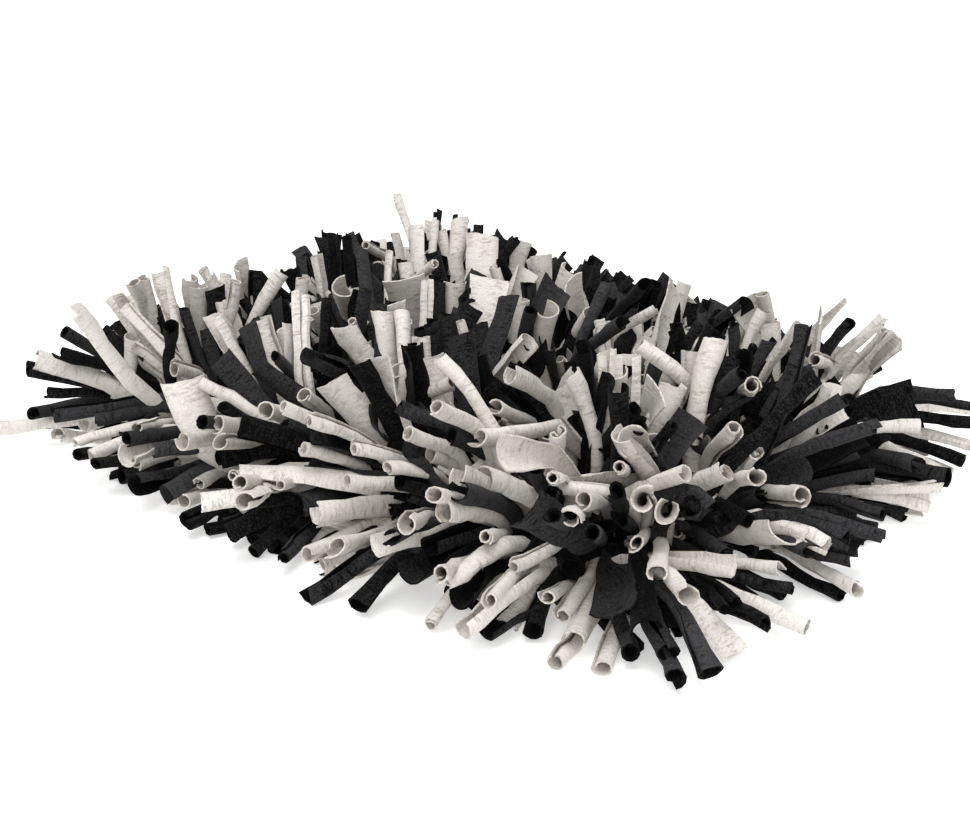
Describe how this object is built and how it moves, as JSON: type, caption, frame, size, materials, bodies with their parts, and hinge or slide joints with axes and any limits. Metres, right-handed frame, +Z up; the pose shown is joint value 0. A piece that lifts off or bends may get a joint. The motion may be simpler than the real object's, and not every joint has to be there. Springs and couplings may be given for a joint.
{
  "type": "snuffle mat",
  "caption": "Rectangular foraging mat with a dense shaggy pile of rolled jersey strips in cream and charcoal, tied in tufts to a flat cloth backing that rests on the floor",
  "frame": {"origin": "Middle of the backing's underside, which rests on the floor", "axes": "+Z up from the floor, +X along the long side of the mat, +Y along its short side; the picture looks from the +X, -Y corner"},
  "size_m": [0.4917, 0.4116, 0.1024],
  "materials": {
    "backing_cloth": "plain woven backing cloth, matt, charcoal",
    "cream_jersey": "cut cotton jersey strips, rolled at the edges, matt cream",
    "charcoal_jersey": "cut cotton jersey strips, rolled at the edges, matt charcoal"
  },
  "bodies": {
    "root": {"backing": "backing_cloth", "tuft_1_1_cream": "cream_jersey", "tuft_1_2_cream": "cream_jersey", "tuft_1_3_charcoal": "charcoal_jersey", "tuft_1_4_charcoal": "charcoal_jersey", "tuft_1_5_charcoal": "charcoal_jersey", "tuft_1_6_cream": "cream_jersey", "tuft_2_1_cream": "cream_jersey", "tuft_2_2_cream": "cream_jersey", "tuft_2_3_charcoal": "charcoal_jersey", "tuft_2_4_charcoal": "charcoal_jersey", "tuft_2_5_cream": "cream_jersey", "tuft_2_6_cream": "cream_jersey", "tuft_3_1_charcoal": "charcoal_jersey", "tuft_3_2_charcoal": "charcoal_jersey", "tuft_3_3_charcoal": "charcoal_jersey", "tuft_3_4_cream": "cream_jersey", "tuft_3_5_cream": "cream_jersey", "tuft_3_6_charcoal": "charcoal_jersey", "tuft_4_1_charcoal": "charcoal_jersey", "tuft_4_2_cream": "cream_jersey", "tuft_4_3_charcoal": "charcoal_jersey", "tuft_4_4_charcoal": "charcoal_jersey", "tuft_4_5_cream": "cream_jersey", "tuft_4_6_charcoal": "charcoal_jersey", "tuft_5_1_charcoal": "charcoal_jersey", "tuft_5_2_cream": "cream_jersey", "tuft_5_3_charcoal": "charcoal_jersey", "tuft_5_4_cream": "cream_jersey", "tuft_5_5_charcoal": "charcoal_jersey", "tuft_5_6_charcoal": "charcoal_jersey", "tuft_6_1_charcoal": "charcoal_jersey", "tuft_6_2_charcoal": "charcoal_jersey", "tuft_6_3_cream": "cream_jersey", "tuft_6_4_cream": "cream_jersey", "tuft_6_5_cream": "cream_jersey", "tuft_6_6_cream": "cream_jersey", "tuft_7_1_cream": "cream_jersey", "tuft_7_2_charcoal": "charcoal_jersey", "tuft_7_3_cream": "cream_jersey", "tuft_7_4_charcoal": "charcoal_jersey", "tuft_7_5_charcoal": "charcoal_jersey", "tuft_7_6_charcoal": "charcoal_jersey", "tuft_8_1_cream": "cream_jersey", "tuft_8_2_charcoal": "charcoal_jersey", "tuft_8_3_cream": "cream_jersey", "tuft_8_4_charcoal": "charcoal_jersey", "tuft_8_5_charcoal": "charcoal_jersey", "tuft_8_6_cream": "cream_jersey"}
  },
  "joints": []
}
